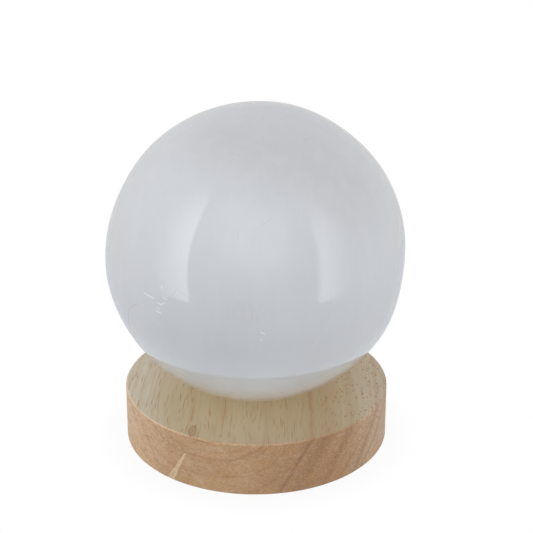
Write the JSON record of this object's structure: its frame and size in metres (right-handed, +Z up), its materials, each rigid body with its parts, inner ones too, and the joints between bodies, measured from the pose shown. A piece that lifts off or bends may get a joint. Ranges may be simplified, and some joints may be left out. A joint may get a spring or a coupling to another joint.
{
  "type": "selenite sphere lamp",
  "caption": "Polished white selenite ball resting on a round turned wooden base that lights it from below, with a power inlet and push switch at the back.",
  "frame": {"origin": "on the table under the middle of the base, at the underside of the feet", "axes": "+Z up through the ball, +Y to the back with the inlet and switch, -Y to the front"},
  "size_m": [0.1115, 0.1114, 0.1319],
  "materials": {
    "selenite": "polished fibrous selenite",
    "rubberwood": "satin oil on turned rubberwood",
    "clear_silicone": "soft matt silicone",
    "frosted_acrylic": "frosted",
    "white_plastic": "moulded white",
    "board_white": "white solder mask on aluminium",
    "led_phosphor": "phosphor in white housing",
    "black_component": "chip component",
    "zinc_steel": "zinc plated",
    "black_plastic": "fine moulded texture",
    "black_rubber": "matt",
    "black_steel": "black oxide",
    "board_green": "green solder mask",
    "socket_steel": "drawn steel",
    "black_component_plastic": "moulded",
    "gold_contact": "plated",
    "button_plastic": "satin",
    "spring_steel": "drawn wire",
    "red_insulation": "soft insulation",
    "black_insulation": "soft insulation",
    "solder": "bright solder"
  },
  "bodies": {
    "base": {"wood_base": "rubberwood", "light_window": "frosted_acrylic", "reflector_ring": "white_plastic", "led_board": "board_white", "led_chips": "led_phosphor", "led_resistors": "black_component", "led_board_screws": "zinc_steel", "bottom_cover": "black_plastic", "cover_screws": "zinc_steel", "rubber_feet": "black_rubber", "rear_panel": "black_plastic", "panel_screws": "black_steel", "control_board": "board_green", "control_board_screws": "zinc_steel", "driver_components": "black_component", "socket_shell": "socket_steel", "socket_tongue": "black_component_plastic", "socket_contacts": "gold_contact", "switch_housing": "black_component_plastic", "button_spring": "spring_steel", "red_wire": "red_insulation", "black_wire": "black_insulation", "solder_joints": "solder"},
    "seat": {"seat_ring": "clear_silicone"},
    "ball": {"selenite_sphere": "selenite"},
    "button": {"push_button": "button_plastic"}
  },
  "joints": [
    {"name": "sphere_turn", "type": "hinge", "parent": "base", "child": "seat", "pos_m": [0, 0, 0.0222], "axis": [0, 0, 1], "continuous": true},
    {"name": "sphere_lift", "type": "slide", "parent": "seat", "child": "ball", "axis": [0, 0, 1], "range_m": [0, 0.06]},
    {"name": "button_press", "type": "slide", "parent": "base", "child": "button", "axis": [0, -1, 0], "range_m": [0, 0.0015], "stiffness_N_per_m": 400, "springref_m": -0.002, "deforming": ["button_spring"]}
  ]
}
